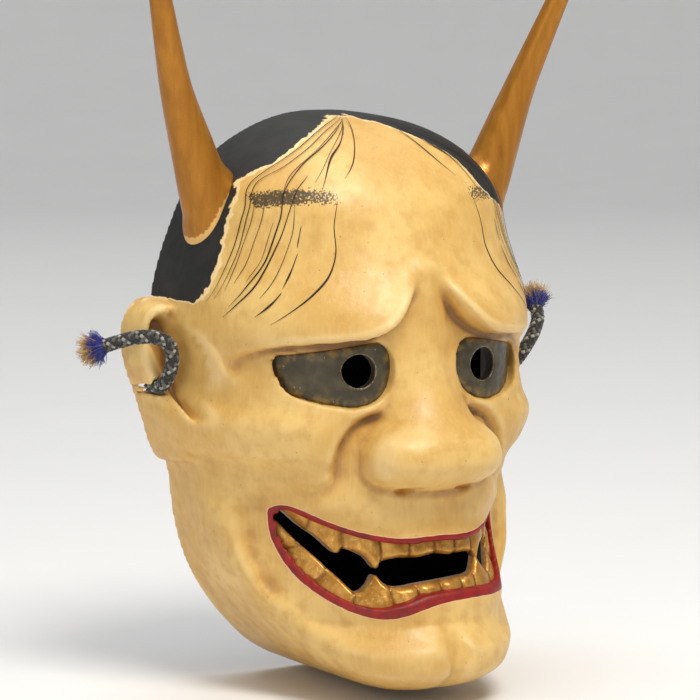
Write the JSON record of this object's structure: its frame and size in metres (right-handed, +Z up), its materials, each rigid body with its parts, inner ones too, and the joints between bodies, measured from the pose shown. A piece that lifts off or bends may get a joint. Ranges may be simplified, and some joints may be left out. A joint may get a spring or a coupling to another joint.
{
  "type": "theatre mask",
  "caption": "Horned demon mask for the noh stage: hollow carved face with inset eye plates, gilt teeth, two horns and a tie cord through the ears.",
  "frame": {"origin": "the middle of the upper back rim, in the plane of the back rim and on the face's middle line; the pupils are 88.5 mm below it", "axes": "-Y is the way the face looks, +Z up, +X to the right as seen from the front"},
  "size_m": [0.2012, 0.1028, 0.2894],
  "materials": {
    "painted_wood": "aged shell-white paint over carved wood, satin",
    "horn_gilt": "bronze-gold lacquer over wood",
    "eye_metal": "dark patina with gilt flecks",
    "tooth_gilt": "worn gilding",
    "braid": "round braid, black with pale checks",
    "yarn": "loose yarn, straw and blue"
  },
  "bodies": {
    "mask": {"mask_shell": "painted_wood", "horn_left": "horn_gilt", "horn_right": "horn_gilt", "eye_plate_left": "eye_metal", "eye_plate_right": "eye_metal", "upper_teeth": "tooth_gilt", "lower_teeth": "tooth_gilt"},
    "cord_end_left": {"cord_sheath_left": "braid", "cord_core_left": "yarn"},
    "cord_end_right": {"cord_sheath_right": "braid", "cord_core_right": "yarn"},
    "hanging_cord": {"hanging_cord_sheath": "braid", "hanging_cord_core": "yarn"}
  },
  "joints": [
    {"name": "cord_end_left_droop", "type": "hinge", "parent": "mask", "child": "cord_end_left", "pos_m": [-0.0764, -0.0035, -0.0972], "axis": [0, -1, 0], "range_deg": [-5, 80]},
    {"name": "cord_end_right_droop", "type": "hinge", "parent": "mask", "child": "cord_end_right", "pos_m": [0.0764, -0.0035, -0.0972], "axis": [0, 1, 0], "range_deg": [-2, 80]},
    {"name": "hanging_cord_swing", "type": "hinge", "parent": "mask", "child": "hanging_cord", "pos_m": [0, -0.0035, -0.0972], "axis": [1, 0, 0], "range_deg": [-100, 30]}
  ]
}
